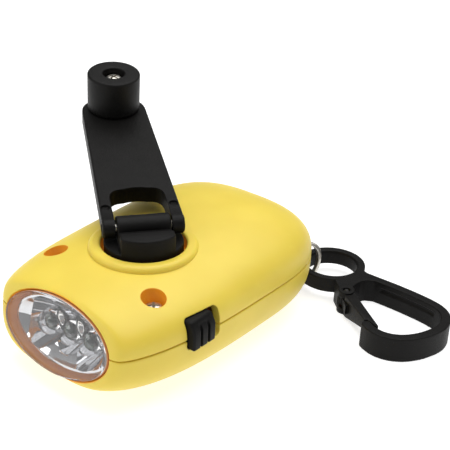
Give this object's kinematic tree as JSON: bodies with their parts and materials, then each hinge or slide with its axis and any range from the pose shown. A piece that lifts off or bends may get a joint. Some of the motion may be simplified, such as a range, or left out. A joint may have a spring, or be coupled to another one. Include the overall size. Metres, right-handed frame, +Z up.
{
  "type": "hand crank flashlight",
  "caption": "Palm-sized flashlight with a fold-out winding crank on top, an oval lens with LEDs, a side slide switch and a carabiner on a split ring.",
  "frame": {"origin": "on the table under the crank's axis, at the flat under the housing", "axes": "+X towards the lens, +Y towards the side with the switch, +Z up along the crank's axis"},
  "size_m": [0.1003, 0.1185, 0.0552],
  "materials": {
    "upper_shell": "satin moulded yellow plastic",
    "lower_shell": "satin moulded yellow plastic",
    "main_board": "green laminate board",
    "switch_body": "white moulded plastic",
    "switch_button": "fine grained black plastic",
    "lanyard_bar": "plain steel wire",
    "housing_screw_near": "plated steel",
    "housing_screw_far": "plated steel",
    "button_cell_1": "nickel plated can",
    "button_cell_2": "nickel plated can",
    "button_cell_3": "nickel plated can",
    "front_lens": "clear polished acrylic",
    "reflector": "vacuum plated plastic, mirror bright",
    "led_board": "green laminate board",
    "led_1": "clear moulded resin",
    "led_2": "clear moulded resin",
    "led_3": "clear moulded resin",
    "crank_rotor": "fine grained black plastic",
    "drive_gear": "natural white acetal",
    "rotor_screw": "plated steel",
    "hinge_pin": "plain steel wire",
    "crank_arm": "fine grained black plastic",
    "knob": "fine grained black plastic",
    "knob_screw": "plated steel",
    "first_compound_gear": "natural white acetal",
    "second_compound_gear": "natural white acetal",
    "first_axle": "ground steel pin",
    "second_axle": "ground steel pin",
    "generator_shaft": "ground steel",
    "magnet_rotor": "bonded magnet",
    "coil": "enamelled copper winding",
    "stator_cup": "pressed steel",
    "split_ring": "plated spring steel",
    "carabiner_frame": "fine grained black plastic",
    "carabiner_gate": "fine grained black plastic",
    "gate_pin": "plain steel wire"
  },
  "bodies": {
    "housing": {"upper_shell": "upper_shell", "lower_shell": "lower_shell", "main_board": "main_board", "switch_body": "switch_body", "lanyard_bar": "lanyard_bar", "housing_screw_near": "housing_screw_near", "housing_screw_far": "housing_screw_far", "button_cell_1": "button_cell_1", "button_cell_2": "button_cell_2", "button_cell_3": "button_cell_3", "front_lens": "front_lens", "reflector": "reflector", "led_board": "led_board", "led_1": "led_1", "led_2": "led_2", "led_3": "led_3", "first_axle": "first_axle", "second_axle": "second_axle", "coil": "coil", "stator_cup": "stator_cup"},
    "crank": {"crank_rotor": "crank_rotor", "drive_gear": "drive_gear", "rotor_screw": "rotor_screw"},
    "arm": {"crank_arm": "crank_arm", "hinge_pin": "hinge_pin", "knob_screw": "knob_screw"},
    "knob": {"knob": "knob"},
    "first_gear": {"first_compound_gear": "first_compound_gear"},
    "second_gear": {"second_compound_gear": "second_compound_gear"},
    "generator_rotor": {"generator_shaft": "generator_shaft", "magnet_rotor": "magnet_rotor"},
    "switch": {"switch_button": "switch_button"},
    "ring": {"split_ring": "split_ring"},
    "carabiner": {"carabiner_frame": "carabiner_frame", "gate_pin": "gate_pin"},
    "gate": {"carabiner_gate": "carabiner_gate"}
  },
  "joints": [
    {"name": "crank_spin", "type": "hinge", "parent": "housing", "child": "crank", "pos_m": [0, 0, 0.0249], "axis": [0, 0, 1], "continuous": true},
    {"name": "first_gear_spin", "type": "hinge", "parent": "housing", "child": "first_gear", "pos_m": [-0.01949, -0.0045, 0.018], "axis": [0, 0, 1], "continuous": true},
    {"name": "second_gear_spin", "type": "hinge", "parent": "housing", "child": "second_gear", "pos_m": [-0.02461, -0.01601, 0.015], "axis": [0, 0, 1], "continuous": true},
    {"name": "generator_spin", "type": "hinge", "parent": "housing", "child": "generator_rotor", "pos_m": [-0.01491, -0.01359, 0.008], "axis": [0, 0, 1], "continuous": true},
    {"name": "arm_fold", "type": "hinge", "parent": "crank", "child": "arm", "pos_m": [-0.00073, -0.00095, 0.0315], "axis": [-0.7944, 0.6074, 0], "range_deg": [0, 170.4]},
    {"name": "knob_spin", "type": "hinge", "parent": "arm", "child": "knob", "pos_m": [-0.03379, -0.04419, 0.04071], "axis": [0.1013, 0.1325, 0.986], "continuous": true},
    {"name": "switch_slide", "type": "slide", "parent": "housing", "child": "switch", "axis": [-1, 0, 0], "range_m": [0, 0.0022]},
    {"name": "ring_swing", "type": "hinge", "parent": "housing", "child": "ring", "pos_m": [-0.04725, 0.014, 0.00895], "axis": [0, 1, 0], "range_deg": [-7, 12]},
    {"name": "carabiner_swing", "type": "hinge", "parent": "ring", "child": "carabiner", "pos_m": [-0.0494, 0.016, 0.00695], "axis": [0, 0, 1], "range_deg": [-12, 30]},
    {"name": "gate_spring", "type": "hinge", "parent": "carabiner", "child": "gate", "pos_m": [-0.04598, 0.03263, 0.0028], "axis": [0, 0, 1], "range_deg": [0, 24], "stiffness_Nm_per_rad": 0.02, "springref_deg": -17.19}
  ],
  "couplings": [
    {"joint": "first_gear_spin", "follows": "crank_spin", "ratio": -4},
    {"joint": "second_gear_spin", "follows": "crank_spin", "ratio": 12.8},
    {"joint": "generator_spin", "follows": "crank_spin", "ratio": -38.4}
  ]
}
